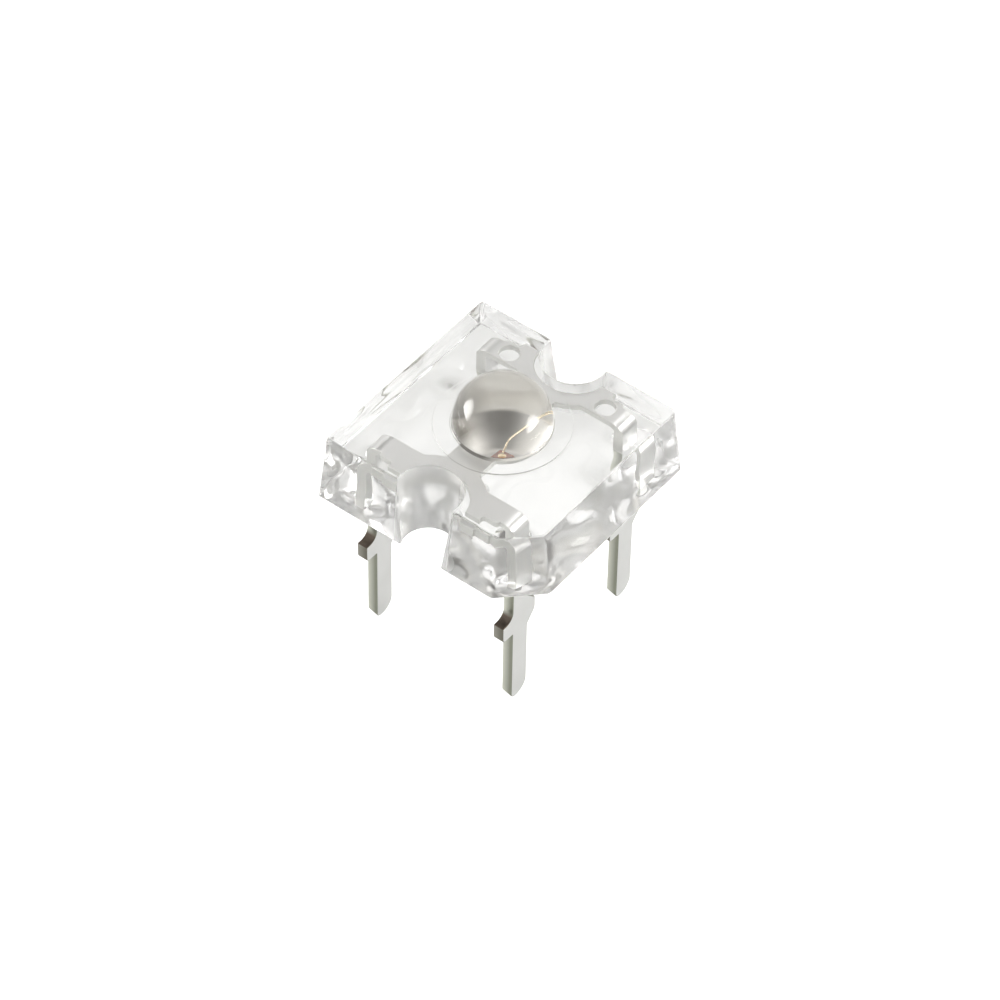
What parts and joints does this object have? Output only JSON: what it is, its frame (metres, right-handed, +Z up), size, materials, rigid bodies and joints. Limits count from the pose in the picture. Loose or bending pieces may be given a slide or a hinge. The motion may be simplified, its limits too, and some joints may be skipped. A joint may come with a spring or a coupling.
{
  "type": "piranha led",
  "caption": "Square clear through-hole LED with a dome lens, half-round side notches, a reflector cup inside and flat stamped leads with stand-off stops.",
  "frame": {"origin": "under the middle of the square body, level with the four lead tips", "axes": "+Z up along the lens axis, away from the leads; +X and +Y across the body's sides; the notches are in the -Y and +Y walls and the cut polarity corner is at +X -Y"},
  "size_m": [0.0076, 0.0076, 0.0092],
  "materials": {
    "clear_epoxy": "water-clear cast epoxy, glossy",
    "plated_lead_frame": "stamped sheet, satin silver and tin plating",
    "silver_glue": "silver-filled conductive glue",
    "semiconductor": "sawn semiconductor chip, smooth",
    "gold": "gold wire and contact metal"
  },
  "bodies": {
    "root": {"epoxy_body": "clear_epoxy", "reflector_frame": "plated_lead_frame", "bond_frame": "plated_lead_frame", "chip_glue": "silver_glue", "led_chip": "semiconductor", "chip_contact": "gold", "bond_wire": "gold"}
  },
  "joints": []
}
